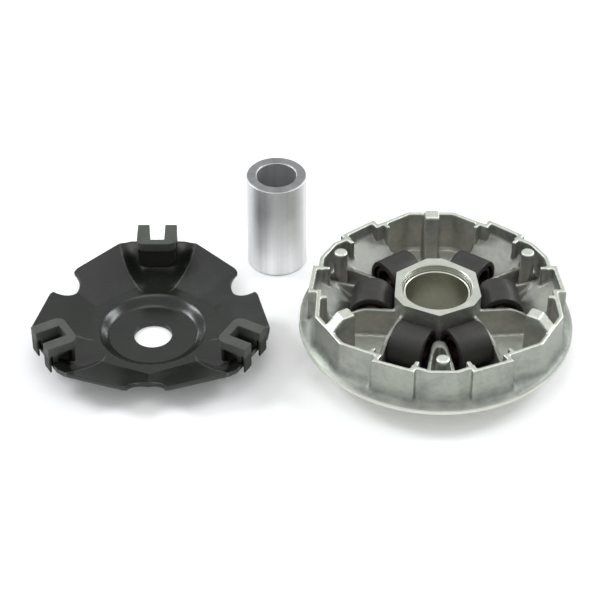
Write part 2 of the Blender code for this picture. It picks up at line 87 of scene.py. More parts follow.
# ---------------------------------------------------------------- node helpers
class Nodes:
    """A material's nodes, written short."""

    def __init__(self, name):
        self.m = bpy.data.materials.new(name)
        self.m.use_nodes = True
        self.t = self.m.node_tree
        self.b = self.t.nodes["Principled BSDF"]

    def n(self, kind, **kw):
        node = self.t.nodes.new("ShaderNode" + kind)
        for k, v in kw.items():
            setattr(node, k, v)
        return node

    def l(self, a, b):
        self.t.links.new(a, b)

    def math(self, op, a, b=None, c=None, clamp=False):
        node = self.n("Math", operation=op, use_clamp=clamp)
        for i, v in enumerate((a, b, c)):
            if v is None:
                continue
            if isinstance(v, (int, float)):
                node.inputs[i].default_value = v
            else:
                self.l(v, node.inputs[i])
        return node.outputs[0]

    def noise(self, scale, detail=3.0, rough=0.55, vec=None, distortion=0.0, dims="3D"):
        node = self.n("TexNoise", noise_dimensions=dims)
        node.inputs["Scale"].default_value = scale
        node.inputs["Detail"].default_value = detail
        node.inputs["Roughness"].default_value = rough
        node.inputs["Distortion"].default_value = distortion
        if dims == "1D":
            self.l(vec, node.inputs["W"])
        else:
            self.l(vec if vec is not None else self.obj(), node.inputs["Vector"])
        return node.outputs["Fac"]

    def obj(self):
        if not hasattr(self, "_obj"):
            self._obj = self.n("TexCoord").outputs["Object"]
        return self._obj

    def ramp(self, fac, stops):
        node = self.n("ValToRGB")
        e = node.color_ramp.elements
        while len(e) < len(stops):
            e.new(0.5)
        for i, (p, c) in enumerate(stops):
            e[i].position = p
            e[i].color = (*c, 1.0) if isinstance(c, tuple) else (c, c, c, 1.0)
        self.l(fac, node.inputs["Fac"])
        return node.outputs["Color"]

    def mix(self, fac, a, b, kind="MIX"):
        node = self.n("Mix", data_type="RGBA", blend_type=kind)
        if isinstance(fac, (int, float)):
            node.inputs["Factor"].default_value = fac
        else:
            self.l(fac, node.inputs["Factor"])
        for sock, v in ((6, a), (7, b)):
            if isinstance(v, tuple):
                node.inputs[sock].default_value = (*v, 1.0)
            else:
                self.l(v, node.inputs[sock])
        return node.outputs[2]

    def remap(self, v, a, b, c, d):
        node = self.n("MapRange")
        self.l(v, node.inputs["Value"])
        for i, x in zip((1, 2, 3, 4), (a, b, c, d)):
            node.inputs[i].default_value = x
        return node.outputs[0]

    def attr(self, name):
        node = self.n("Attribute", attribute_name=name)
        return node.outputs["Fac"]

    def radius_from(self, x, y):
        """Distance from an upright axis, in metres."""
        sep = self.n("SeparateXYZ")
        self.l(self.obj(), sep.inputs[0])
        dx = self.math("SUBTRACT", sep.outputs[0], x)
        dy = self.math("SUBTRACT", sep.outputs[1], y)
        return self.math("SQRT", self.math("ADD", self.math("MULTIPLY", dx, dx), self.math("MULTIPLY", dy, dy))), sep

    def bump(self, height, strength, distance, after=None):
        node = self.n("Bump")
        node.inputs["Strength"].default_value = strength
        node.inputs["Distance"].default_value = distance
        self.l(height, node.inputs["Height"])
        if after is not None:
            self.l(after, node.inputs["Normal"])
        return node.outputs["Normal"]

    def set(self, **kw):
        for k, v in kw.items():
            s = self.b.inputs[k.replace("_", " ")]
            if isinstance(v, (int, float)):
                s.default_value = v
            elif isinstance(v, tuple):
                s.default_value = (*v, 1.0)
            else:
                self.l(v, s)
        return self


# ---------------------------------------------------------------- materials
def cast_material():
    k = Nodes("cast_alloy_finish")
    broad = k.noise(70.0, 3.0, 0.6)
    mottle = k.noise(420.0, 4.0, 0.65)
    grain = k.noise(2600.0, 3.0, 0.7)
    # bright machined tops, and pocket floors painted lighter with the same tone as painted light
    bright_finish_and_floor_light = k.attr("machined_and_floor_light")
    deep = k.attr("deep")
    # satin as-cast skin, a little green, with darker stains
    base = k.ramp(mottle, [(0.25, (0.295, 0.315, 0.278)), (0.5, (0.362, 0.382, 0.340)), (0.78, (0.432, 0.452, 0.405))])
    stain = k.ramp(broad, [(0.30, (0.80, 0.79, 0.80)), (0.52, (1.0, 1.0, 1.0)), (0.75, (1.08, 1.10, 1.04))])
    base = k.mix(1.0, base, stain, "MULTIPLY")
    # pocket walls painted lighter the deeper they lie: painted light
    pocket_painted_light = k.mix(deep, (1.0, 1.0, 1.0), (1.28, 1.18, 1.24))
    base = k.mix(1.0, base, pocket_painted_light, "MULTIPLY")
    # darker towards the wall's outer foot, broken by noise: painted shade in the hollow curve, mixed with grime
    foot_shade_and_grime = k.math("MULTIPLY", k.attr("foot"), k.remap(broad, 0.3, 0.7, 1.0, 0.45))
    base = k.mix(1.0, base, k.mix(foot_shade_and_grime, (1.0, 1.0, 1.0), (0.60, 0.60, 0.61)), "MULTIPLY")
    # ramp faces painted darker: painted shade that tones down the light they catch
    base = k.mix(1.0, base, k.mix(k.attr("ramp"), (1.0, 1.0, 1.0), (0.78, 0.76, 0.77)), "MULTIPLY")
    bright = k.ramp(mottle, [(0.3, (0.62, 0.65, 0.57)), (0.7, (0.73, 0.745, 0.67))])
    colour = k.mix(bright_finish_and_floor_light, base, bright)
    rough_cast = k.remap(mottle, 0.3, 0.75, 0.40, 0.58)
    rough = k.math("SUBTRACT", rough_cast, k.math("MULTIPLY", bright_finish_and_floor_light, 0.10))
    h = k.math("ADD", k.math("MULTIPLY", grain, 0.45), k.math("MULTIPLY", mottle, 0.55))
    strength = k.math("SUBTRACT", 1.0, k.math("MULTIPLY", bright_finish_and_floor_light, 0.75))
    bump = k.bump(k.math("MULTIPLY", h, strength), 0.5, 0.00022)
    k.set(Base_Color=colour, Metallic=0.82, Roughness=rough, Normal=bump)
    return k.m


def faced_material():
    """Faces cut on a lathe: concentric marks round the drive face's axis."""
    k = Nodes("faced_alloy")
    r, sep = k.radius_from(DRIVE_X * MM, DRIVE_Y * MM)
    marks = k.noise(4200.0, 2.0, 0.5, r, dims="1D")
    mottle = k.noise(160.0, 3.0, 0.55)
    colour = k.ramp(k.math("ADD", k.math("MULTIPLY", marks, 0.35), k.math("MULTIPLY", mottle, 0.65)),
                    [(0.30, (0.58, 0.60, 0.53)), (0.70, (0.70, 0.71, 0.645))])
    rough = k.remap(mottle, 0.3, 0.7, 0.30, 0.42)
    bump = k.bump(marks, 0.22, 0.00006)
    k.set(Base_Color=colour, Metallic=0.85, Roughness=rough, Normal=bump)
    return k.m


def turned_material():
    """Sleeve: fine turned steel, marks running round the axis on the side and in circles on the end."""
    k = Nodes("turned_steel_finish")
    r, sep = k.radius_from(SLEEVE_X * MM, SLEEVE_Y * MM)
    z = sep.outputs[2]
    along = k.noise(3600.0, 3.0, 0.6, z, dims="1D")
    rings = k.noise(4200.0, 3.0, 0.6, r, dims="1D")
    end = k.math("GREATER_THAN", k.math("ABSOLUTE", k.math("SUBTRACT", z, SLEEVE_L * MM / 2)), SLEEVE_L * MM / 2 - 0.00035)
    marks = k.n("Mix", data_type="FLOAT")
    k.l(end, marks.inputs[0]); k.l(along, marks.inputs[2]); k.l(rings, marks.inputs[3])
    marks = marks.outputs[0]
    # soft lengthwise streaks left by polishing
    ang = k.n("Math", operation="ARCTAN2")
    k.l(k.math("SUBTRACT", sep.outputs[1], SLEEVE_Y * MM), ang.inputs[0])
    k.l(k.math("SUBTRACT", sep.outputs[0], SLEEVE_X * MM), ang.inputs[1])
    streak = k.noise(2.6, 2.0, 0.5, k.math("ADD", ang.outputs[0], 7.0), dims="1D")
    smear = k.noise(90.0, 3.0, 0.6)
    tone = k.math("ADD", k.math("MULTIPLY", marks, 0.25), k.math("ADD", k.math("MULTIPLY", streak, 0.45), k.math("MULTIPLY", smear, 0.30)))
    colour = k.ramp(tone, [(0.30, (0.62, 0.63, 0.63)), (0.5, (0.76, 0.76, 0.765)), (0.72, (0.90, 0.90, 0.90))])
    # both end faces painted darker: painted shade that tones down the lit top end
    colour = k.mix(1.0, colour, k.mix(end, (1.0, 1.0, 1.0), (0.41, 0.415, 0.42)), "MULTIPLY")
    rough = k.remap(k.math("ADD", k.math("MULTIPLY", marks, 0.5), k.math("MULTIPLY", smear, 0.5)), 0.3, 0.7, 0.41, 0.54)
    bump = k.bump(marks, 0.28, 0.00004)
    k.set(Base_Color=colour, Metallic=1.0, Roughness=rough, Normal=bump, Anisotropic=0.42)
    tan = k.n("Tangent", direction_type="RADIAL", axis="Z")
    k.l(tan.outputs[0], k.b.inputs["Tangent"])
    return k.m


def bush_material():
    k = Nodes("bush_steel_finish")
    r, sep = k.radius_from(DRIVE_X * MM, DRIVE_Y * MM)
    marks = k.noise(3000.0, 3.0, 0.6, sep.outputs[2], dims="1D")
    smear = k.noise(140.0, 3.0, 0.6)
    edge = k.math("GREATER_THAN", sep.outputs[2], (BUSH_Z1 - 0.55) * MM)
    tone = k.math("ADD", k.math("MULTIPLY", marks, 0.3), k.math("MULTIPLY", smear, 0.7))
    inside = k.ramp(tone, [(0.3, (0.34, 0.345, 0.27)), (0.7, (0.50, 0.50, 0.41))])
    colour = k.mix(edge, inside, (0.82, 0.82, 0.76))
    k.set(Base_Color=colour, Metallic=1.0, Roughness=k.remap(smear, 0.3, 0.7, 0.34, 0.48), Normal=k.bump(marks, 0.2, 0.00004))
    return k.m


def coat_material():
    """Plate: smooth black coating over pressed steel, semi-gloss, faint dust."""
    k = Nodes("black_coating")
    broad = k.noise(60.0, 4.0, 0.6)
    peel = k.noise(520.0, 2.0, 0.5)
    fine = k.noise(2400.0, 2.0, 0.6)
    colour = k.ramp(broad, [(0.32, (0.0080, 0.0092, 0.0072)), (0.68, (0.0125, 0.0142, 0.0112))])
    # painted highlight: a light line along the trough's creases, broken by noise
    crease_painted_highlight = k.math("MULTIPLY", k.attr("crease"), k.remap(k.noise(240.0, 3.0, 0.6), 0.35, 0.65, 0.35, 1.0))
    colour = k.mix(crease_painted_highlight, colour, (0.085, 0.092, 0.080))
    rough = k.math("ADD", k.remap(broad, 0.3, 0.7, 0.19, 0.26), k.math("MULTIPLY", fine, 0.05))
    bump = k.bump(peel, 0.10, 0.00012, k.bump(fine, 0.06, 0.00005))
    k.set(Base_Color=colour, Metallic=0.0, Roughness=rough, Normal=bump, Specular_IOR_Level=0.50)
    return k.m


def slide_material():
    k = Nodes("slide_plastic_finish")
    broad = k.noise(110.0, 4.0, 0.6)
    pores = k.noise(1900.0, 3.0, 0.7)
    colour = k.ramp(k.math("ADD", k.math("MULTIPLY", broad, 0.6), k.math("MULTIPLY", pores, 0.4)),
                    [(0.30, (0.046, 0.049, 0.042)), (0.70, (0.078, 0.082, 0.071))])
    # painted shade below the overhanging head
    colour = k.mix(k.math("MULTIPLY", k.attr("low"), 0.86), colour, (0.0075, 0.0070, 0.0062))
    rough = k.remap(pores, 0.3, 0.7, 0.54, 0.68)
    k.set(Base_Color=colour, Roughness=rough, Normal=k.bump(pores, 0.30, 0.00010), Specular_IOR_Level=0.38)
    return k.m


def nylon_material():
    k = Nodes("roller_nylon_finish")
    broad = k.noise(160.0, 4.0, 0.6)
    pores = k.noise(2200.0, 3.0, 0.6)
    scuff = k.noise(700.0, 4.0, 0.7, distortion=0.6)
    colour = k.ramp(k.math("ADD", k.math("MULTIPLY", broad, 0.55), k.math("MULTIPLY", scuff, 0.45)),
                    [(0.32, (0.0175, 0.0166, 0.0142)), (0.55, (0.026, 0.0245, 0.0210)), (0.75, (0.043, 0.0405, 0.0350))])
    # end faces and bore painted near black: painted shade
    colour = k.mix(k.math("MULTIPLY", k.attr("end"), 0.62), colour, (0.006, 0.0045, 0.004))
    rough = k.remap(scuff, 0.3, 0.7, 0.40, 0.54)
    k.set(Base_Color=colour, Roughness=rough, Normal=k.bump(pores, 0.18, 0.00008), Specular_IOR_Level=0.45)
    return k.m


def core_material():
    k = Nodes("roller_core_finish")
    mottle = k.noise(500.0, 4.0, 0.65)
    fine = k.noise(2600.0, 3.0, 0.6)
    colour = k.ramp(mottle, [(0.3, (0.045, 0.033, 0.027)), (0.7, (0.095, 0.070, 0.056))])
    k.set(Base_Color=colour, Metallic=0.9, Roughness=k.remap(fine, 0.3, 0.7, 0.38, 0.52), Normal=k.bump(fine, 0.25, 0.00008))
    return k.m


CAST, FACED, TURNED = cast_material(), faced_material(), turned_material()
BUSHM, COAT, SLIDE, NYLON, CORE = bush_material(), coat_material(), slide_material(), nylon_material(), core_material()


# ---------------------------------------------------------------- solid helpers, in mm
def make(name, bm, mats=()):
    bmesh.ops.recalc_face_normals(bm, faces=bm.faces[:])
    if bm.calc_volume(signed=True) < 0:
        bmesh.ops.reverse_faces(bm, faces=bm.faces[:])
    mesh = bpy.data.meshes.new(name)
    bm.to_mesh(mesh)
    bm.free()
    ob = bpy.data.objects.new(name, mesh)
    bpy.context.scene.collection.objects.link(ob)
    for m in mats:
        mesh.materials.append(m)
    return ob


def prism(outline, z0, z1, tops=None, lows=None):
    bm = bmesh.new()
    low = [bm.verts.new((x, y, lows[i] if lows else z0)) for i, (x, y) in enumerate(outline)]
    high = [bm.verts.new((x, y, tops[i] if tops else z1)) for i, (x, y) in enumerate(outline)]
    n = len(outline)
    bm.faces.new(low)
    bm.faces.new(high)
    for i in range(n):
        j = (i + 1) % n
        bm.faces.new((low[i], low[j], high[j], high[i]))
    if tops or lows:
        bmesh.ops.triangulate(bm, faces=bm.faces[:])
    return make("prism", bm)


def slab(profile, off0, off1, deg):
    bm = bmesh.new()
    ux, uy = pol(1.0, deg)
    vx, vy = -uy, ux
    a = [bm.verts.new((s * ux + off0 * vx, s * uy + off0 * vy, z)) for s, z in profile]
    b = [bm.verts.new((s * ux + off1 * vx, s * uy + off1 * vy, z)) for s, z in profile]
    n = len(profile)
    bm.faces.new(a)
    bm.faces.new(b)
    for i in range(n):
        j = (i + 1) % n
        bm.faces.new((a[i], a[j], b[j], b[i]))
    return make("slab", bm)


def turned(name, profile, n, mats=()):
    """A closed profile (r, z) with every r > 0 turned about Z."""
    bm = bmesh.new()
    rings = []
    for k in range(n):
        a = 2 * math.pi * k / n
        rings.append([bm.verts.new((r * math.cos(a), r * math.sin(a), z)) for r, z in profile])
    m = len(profile)
    for k in range(n):
        p, q = rings[k], rings[(k + 1) % n]
        for i in range(m):
            j = (i + 1) % m
            bm.faces.new((p[i], q[i], q[j], p[j]))
    return make(name, bm, mats)


def rod(profile, n, at=(0.0, 0.0)):
    bm = bmesh.new()
    rings = []
    for r, z in profile:
        rings.append([bm.verts.new((at[0] + r * math.cos(2 * math.pi * k / n),
                                    at[1] + r * math.sin(2 * math.pi * k / n), z)) for k in range(n)])
    for p, q in zip(rings, rings[1:]):
        for k in range(n):
            j = (k + 1) % n
            bm.faces.new((p[k], p[j], q[j], q[k]))
    bm.faces.new(rings[0])
    bm.faces.new(rings[-1])
    return make("rod", bm)


def evaluated(ob):
    bpy.context.view_layer.update()
    dg = bpy.context.evaluated_depsgraph_get()
    return bpy.data.meshes.new_from_object(ob.evaluated_get(dg))


def combine(ob, other, op, solver="EXACT"):
    mod = ob.modifiers.new("cut", "BOOLEAN")
    mod.operation = op
    mod.solver = solver
    mod.object = other
    mesh = evaluated(ob)
    ob.modifiers.remove(mod)
    old = ob.data
    ob.data = mesh
    bpy.data.meshes.remove(old)
    bpy.data.objects.remove(other, do_unlink=True)


def voxel(ob, size):
    mod = ob.modifiers.new("skin", "REMESH")
    mod.mode = "VOXEL"
    mod.voxel_size = size
    mesh = evaluated(ob)
    ob.modifiers.remove(mod)
    old = ob.data
    ob.data = mesh
    bpy.data.meshes.remove(old)


def coords(mesh):
    co = np.empty(len(mesh.vertices) * 3)
    mesh.vertices.foreach_get("co", co)
    return co.reshape(-1, 3)


def normals(mesh):
    nv = np.empty(len(mesh.vertices) * 3, np.float32)
    mesh.vertex_normals.foreach_get("vector", nv)
    return nv.reshape(-1, 3).astype(float)


def relax(ob, steps, fill=0, fill_mask=None):
    """Even smoothing, then smoothing that only fills hollows, which leaves cast fillets."""
    mesh = ob.data
    co = coords(mesh)
    e = np.empty(len(mesh.edges) * 2, np.int64)
    mesh.edges.foreach_get("vertices", e)
    e = e.reshape(-1, 2)
    n = len(co)
    deg = np.bincount(e.ravel(), minlength=n).astype(float)

    def mean(c):
        out = np.empty_like(c)
        for k in range(3):
            out[:, k] = (np.bincount(e[:, 0], c[e[:, 1], k], n) + np.bincount(e[:, 1], c[e[:, 0], k], n)) / deg
        return out

    for _ in range(steps):
        co = co + 0.5 * (mean(co) - co)
    mesh.vertices.foreach_set("co", co.ravel())
    mesh.update()
    if fill:
        mask = fill_mask(co) if fill_mask else np.ones(n)
        nv = normals(mesh)
        for i in range(fill):
            d = 0.5 * (mean(co) - co)
            out = (d * nv).sum(1)
            w = np.where(out > 0, 1.0, 0.12) * np.clip(mask - i / fill, 0, 1 / fill) * fill
            co = co + d * np.clip(w, 0, 1)[:, None]
            if i % 8 == 7:
                mesh.vertices.foreach_set("co", co.ravel())
                mesh.update()
                nv = normals(mesh)
        mesh.vertices.foreach_set("co", co.ravel())
        mesh.update()


def offset_in(outline, d):
    out = []
    n = len(outline)
    for i in range(n):
        p0, p1, p2 = (Vector(outline[i - 1]), Vector(outline[i]), Vector(outline[(i + 1) % n]))
        e0, e1 = (p1 - p0).normalized(), (p2 - p1).normalized()
        n0, n1 = Vector((-e0.y, e0.x)), Vector((-e1.y, e1.x))
        b = (n0 + n1).normalized()
        out.append(tuple(p1 + b * (d / max(b.dot(n0), 0.35))))
    return out


def place(ob, at, sharp=32.0):
    """mm to metres, into the row frame."""
    ob.data.transform(Matrix.Translation((at[0] * MM, at[1] * MM, 0.0)) @ Matrix.Scale(MM, 4))
    ob.data.shade_smooth()
    ob.data.set_sharp_from_angle(angle=math.radians(sharp))


def settle(ob, body, slot, *nodes):
    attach(ob, body)
    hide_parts(*nodes)


# ---------------------------------------------------------------- the casting
def rim_outline():
    pts = []
    for c in SECTORS:
        for r, t in ((R_A0, -RIM_B), (R_B, -RIM_B), (R_B, -RIM_C), (R_C, -RIM_C), (R_CM, -6.0), (R_CM, 6.0),
                     (R_C, RIM_C), (R_B, RIM_C), (R_B, RIM_B), (R_A0, RIM_B), (R_A1, RIM_A), (R_A1, 120.0 - RIM_A)):
            pts.append(pol(r, c + t))
    return pts


RIM_OUT = rim_outline()
RIM_IN = offset_in(RIM_OUT, WALL_T)
RIM_MID = offset_in(RIM_OUT, WALL_T * 0.5)
U_WALL = ((26.2, 0.0), (26.5, 1.3), (27.5, 2.5), (29.0, 3.4), (31.0, 4.1), (37.0, 5.3), (43.0, 6.3), (49.0, 6.9), (57.5, 7.2))


def u_outline(tip, thick, end):
    side = [(r, w) for r, w in U_WALL]
    if thick:
        side = [(tip, 0.0), (tip + 0.3, 0.9), (tip + 1.3, 1.7), (35.0, 2.8), (40.0, 3.9), (46.0, 4.7), (50.0, 5.0)]
    side = side + [(end, side[-1][1])]
    return [(r, -w) for r, w in reversed(side)] + [(r, w) for r, w in side[1:]]


def within(outline, x, y):
    """True for points inside a closed outline."""
    hit = np.zeros(len(x), bool)
    for (x0, y0), (x1, y1) in zip(outline, outline[1:] + outline[:1]):
        if y0 != y1:
            hit ^= ((y0 > y) != (y1 > y)) & (x < x0 + (y - y0) * (x1 - x0) / (y1 - y0))
    return hit


def ramp_z(a):
    return (ROLLER_CZ - (ROLLER_R + GAP) / math.cos(math.radians(RAMP_DEG)) + (a - ROLLER_RHO) * math.tan(math.radians(RAMP_DEG)))


def casting():
    face = rod([(20.6, -0.9), (67.2, 11.26), (67.2, 13.55), (61.5, LEDGE_Z)], 144)
    face.name = "drive_face_casting"
    combine(face, prism(RIM_IN, FLOOR_Z, 60.0), "DIFFERENCE")
    wall = prism(RIM_OUT, FLOOR_Z + 1.0, RIM_Z)
    combine(wall, prism(RIM_IN, 0.0, 60.0), "DIFFERENCE")
    combine(face, wall, "UNION")
    for g in GUIDES:
        # the wall's foot runs out to the sheave in a wide hollow curve
        steps, sections = 9, []
        bm = bmesh.new()
        for k in range(45):
            a = -27.4 + 54.8 * k / 44
            near = R_A1 * math.cos(math.radians(60.0 - RIM_A)) / math.cos(math.radians(a))
            if abs(a) > 60.0 - RIM_A:
                p, q = Vector(pol(R_A1, 60.0 - RIM_A)), Vector(pol(R_A0, 60.0 - RIM_B))
                d, e = Vector(pol(1.0, abs(a))), q - p
                near = (p.x * e.y - p.y * e.x) / (d.x * e.y - d.y * e.x)
            near -= 0.3
            wide = 65.5 - near
            prof = [(65.5 - wide * math.sin(math.pi / 2 * i / steps), 14.9 + 8.5 * (1 - math.cos(math.pi / 2 * i / steps)))
                    for i in range(steps + 1)]
            prof = [(54.5, 14.0), (65.6, 14.0)] + prof + [(54.5, prof[-1][1])]
            sections.append([bm.verts.new((*pol(r, g + a), z)) for r, z in prof])
        for p, q in zip(sections, sections[1:]):
            for i in range(len(p)):
                j = (i + 1) % len(p)
                bm.faces.new((p[i], p[j], q[j], q[i]))
        bm.faces.new(sections[0])
        bm.faces.new(sections[-1])
        ring = make("scoop", bm)
        combine(ring, prism(RIM_IN, 0.0, 60.0), "DIFFERENCE")
        combine(face, ring, "UNION")
    for c in SECTORS:
        for s in (-1, 1):
            lo, hi = (-8.9, SIDE_OFF0) if s > 0 else (-SIDE_OFF0, 8.9)
            combine(face, slab([(17.0, TRACK_Z), (45.0, TRACK_Z), (45.0, 30.0), (17.0, 30.0)], lo, hi, c + s * ROLLER_DIR),
                    "DIFFERENCE")
    for c in SECTORS:
        for s in (-1, 1):
            d = c + s * ROLLER_DIR
            lo, hi = (-16.0, SIDE_OFF0 + 1.0) if s > 0 else (-SIDE_OFF0 - 1.0, 16.0)
            z0 = TRACK_Z - 1.0
            a0 = ROLLER_RHO + (z0 - ramp_z(ROLLER_RHO)) / math.tan(math.radians(RAMP_DEG))
            wedge = slab([(a0, z0), (50.0, z0), (64.0, z0 + 3.6), (64.0, ramp_z(64.0))], lo, hi, d)
            half = [(20.0, 0.0), (70.0, 0.0), (70.0, 40.0 * s), (20.0, 40.0 * s)]
            combine(wedge, prism(turn(half, c), 0.0, 60.0), "INTERSECT")
            combine(wedge, prism(RIM_MID, 0.0, 60.0), "INTERSECT")
            combine(face, wedge, "UNION")
        u = u_outline(26.2, False, 58.6)
        tops = [23.6 - max(0.0, r - 27.0) * 0.11 for r, w in u]
        lows = [TRACK_Z - 0.6 + max(0.0, r - 44.0) * 0.16 for r, w in u]
        combine(face, prism(turn(u, c), 0.0, 0.0, tops=tops, lows=lows), "UNION")
        combine(face, prism(turn(u_outline(30.8, True, 56.6), c), FLOOR_Z, 40.0), "DIFFERENCE")
    side = [(15.0, TRACK_Z - 0.8), (50.0, TRACK_Z - 0.8), (55.9, TRACK_Z + 1.1), (55.9, RIM_Z), (51.9, RIM_Z), (51.6, 20.5),
            (49.5, 19.2), (46.5, 19.9), (43.0, 21.9), (39.5, 24.3), (36.5, 26.0), (33.0, SIDE_Z), (15.0, SIDE_Z)]
    for c in SECTORS:
        for s in (-1, 1):
            lo, hi = (SIDE_OFF0, SIDE_OFF1) if s > 0 else (-SIDE_OFF1, -SIDE_OFF0)
            combine(face, slab(side, lo, hi, c + s * ROLLER_DIR), "UNION")
            p0, p1 = Vector(pol(60.4, c + s * 13.6)), Vector(pol(53.3, c + s * 12.4))
            e = (p1 - p0).normalized()
            q = Vector((-e.y, e.x)) * 1.1
            combine(face, prism([tuple(p0 - q), tuple(p1 - q), tuple(p1 + q), tuple(p0 + q)], TRACK_Z + 1.6, RIM_Z + 0.001), "UNION")
        col = rod([(COLUMN_R + 0.5, FLOOR_Z - 1.0), (COLUMN_R, 20.0), (COLUMN_R, COLUMN_Z - 0.5), (COLUMN_R - 0.5, COLUMN_Z)],
                  40, pol(COLUMN_RHO, c))
        combine(face, col, "UNION")
    for g in GUIDES:
        post = slab([(POST_R0 - 0.6, FLOOR_Z - 1.0), (POST_R2, FLOOR_Z - 1.0), (POST_R2, RIM_Z - 0.4), (POST_R1, POST_Z),
                     (POST_R0 + 0.7, POST_Z), (POST_R0, POST_Z - 0.8)], -POST_HALF, POST_HALF, g)
        combine(face, post, "UNION")
    combine(face, prism([pol(HUB_R, a) for a in sorted(HUB_CORNERS)], 4.0, HUB_Z + 0.8), "UNION")

    voxel(face, 0.45)

    def fillet(co):
        """1 where a hollow corner is filled, 0 along the rollers' tracks, which stay true."""
        m = np.ones(len(co))
        for c in SECTORS:
            for s in (-1, 1):
                d = math.radians(c + s * ROLLER_DIR)
                along = co[:, 0] * math.cos(d) + co[:, 1] * math.sin(d)
                lat = -co[:, 0] * math.sin(d) + co[:, 1] * math.cos(d)
                m[(along > 18) & (along < 57.5) & (np.abs(lat) < SIDE_OFF0 + 0.4)] = 0.0
        rho = np.hypot(co[:, 0], co[:, 1])
        m[(m > 0) & ~((rho > 57.0) & (co[:, 2] < 25.0))] *= 0.42
        return m

    relax(face, 3, 64, fillet)

    # lathe work: belt face, foot, bore with its counterbore and ring groove, hub top, outer edge
    lathe = rod([(74.0, -6.0), (74.0, 16.0), (66.4, 16.0), (65.55, 14.2), (65.97, 13.75), (65.97, 12.3), (65.65, FLANGE_Z0 - 0.09), (20.4, 0.11), (20.0, 0.0),
                 (BORE_R + 0.6, 0.0), (BORE_R, 0.6), (BORE_R, HUB_Z - CBORE_D), (CBORE_R, HUB_Z - CBORE_D),
                 (CBORE_R, GROOVE_Z0), (GROOVE_R, GROOVE_Z0), (GROOVE_R, GROOVE_Z1), (CBORE_R, GROOVE_Z1),
                 (CBORE_R, HUB_Z - 0.45), (CBORE_R + 0.45, HUB_Z), (26.0, HUB_Z), (26.0, 46.0)], 256)
    face.data.materials.clear()
    face.data.materials.append(CAST)
    face.data.materials.append(FACED)
    lathe.data.materials.append(CAST)
    lathe.data.materials.append(FACED)
    lathe.data.polygons.foreach_set("material_index", np.ones(len(lathe.data.polygons), np.int32))
    before = len(face.data.polygons)
    combine(face, lathe, "DIFFERENCE", "MANIFOLD")
    print("casting", before, "->", len(face.data.polygons), "faces")

    mesh = face.data
    co, nv = coords(mesh), normals(mesh)
    rho = np.hypot(co[:, 0], co[:, 1])
    ang = np.degrees(np.arctan2(co[:, 1], co[:, 0]))
    gd = np.min([np.abs((ang - g + 180) % 360 - 180) for g in GUIDES], axis=0)
    sd = np.min([np.abs((ang - c + 180) % 360 - 180) for c in SECTORS], axis=0)
    lat_g, along_g = rho * np.sin(np.radians(gd)), rho * np.cos(np.radians(gd))
    lat_s, along_s = rho * np.sin(np.radians(sd)), rho * np.cos(np.radians(sd))
    up = np.clip((nv[:, 2] - 0.55) / 0.25, 0, 1)
    post = (lat_g < POST_HALF + 0.3) & (along_g > 46.0) & (co[:, 2] > RIM_Z - 1.5)
    column = (np.hypot(along_s - COLUMN_RHO, lat_s) < COLUMN_R + 0.4) & (co[:, 2] > COLUMN_Z - 1.5)
    rim = (rho > 50.5) & (np.abs(co[:, 2] - RIM_Z) < 1.2)
    machined_and_floor_light = np.where(post, up, 0.0)
    machined_and_floor_light = np.maximum(machined_and_floor_light, np.where(column, up, 0.0))
    machined_and_floor_light = np.maximum(machined_and_floor_light, np.where(rim & ~post, 0.75 * up, 0.0))
    # ramps the rollers run on, which get the painted shade
    ramp = (nv[:, 2] > 0.72) & (nv[:, 2] < 0.93) & (rho > 34) & (rho < 60) & (co[:, 2] < 27) & (lat_s > 4)
    # pocket floors painted lighter as if machined: painted light standing in for the sky they don't see
    floor = (nv[:, 2] > 0.93) & (co[:, 2] < 14.0) & (rho > 22) & within(RIM_IN, co[:, 0], co[:, 1])
    machined_and_floor_light = np.maximum(machined_and_floor_light, np.where(floor, 0.75, 0.0))
    # how far down a pocket a point is, for the painted light on the pocket walls, and how near the wall's outer foot,
    # for the painted shade mixed with grime there
    inside = within(RIM_MID, co[:, 0], co[:, 1])
    deep = np.where(inside, np.clip((RIM_Z - co[:, 2]) / 7.0, 0, 1) * np.clip(1.15 - np.abs(nv[:, 2]) * 1.3, 0, 1), 0.0)
    foot = np.where(inside, 0.0, np.clip((LEDGE_Z + 5.0 - co[:, 2]) / 5.0, 0, 1) * np.clip((66.3 - rho) / 2.2, 0, 1))
    foot = np.where(co[:, 2] > FLANGE_Z1 - 0.3, foot, 0.0)
    for name, val in (("machined_and_floor_light", machined_and_floor_light), ("deep", deep), ("foot", foot), ("ramp", ramp)):
        a = mesh.attributes.new(name, "FLOAT", "POINT")
        a.data.foreach_set("value", val.astype(np.float32))
    place(face, (DRIVE_X, DRIVE_Y), 38.0)
    settle(face, "drive_face", "cast_alloy", "drive_face")
    return face


# ---------------------------------------------------------------- bush, sleeve, rollers
def arc(cx, cz, r, a0, a1, n):
    """Points (r, z) on a corner arc, degrees."""
    return [(cx + r * math.cos(math.radians(a0 + (a1 - a0) * i / n)), cz + r * math.sin(math.radians(a0 + (a1 - a0) * i / n)))
            for i in range(n + 1)]


def bush():
    ob = turned("hub_bush_turned", [(BUSH_RI, BUSH_Z0 + 0.5), (BUSH_RI + 0.4, BUSH_Z0), (BUSH_RO, BUSH_Z0)]
                + arc(BUSH_RO - 0.25, BUSH_Z1 - 0.25, 0.25, 0, 90, 3) + arc(BUSH_RI + 0.30, BUSH_Z1 - 0.30, 0.30, 90, 180, 4), 192, [BUSHM])
    place(ob, (DRIVE_X, DRIVE_Y), 40.0)
    settle(ob, "drive_face", "bush_steel", "hub_bush")


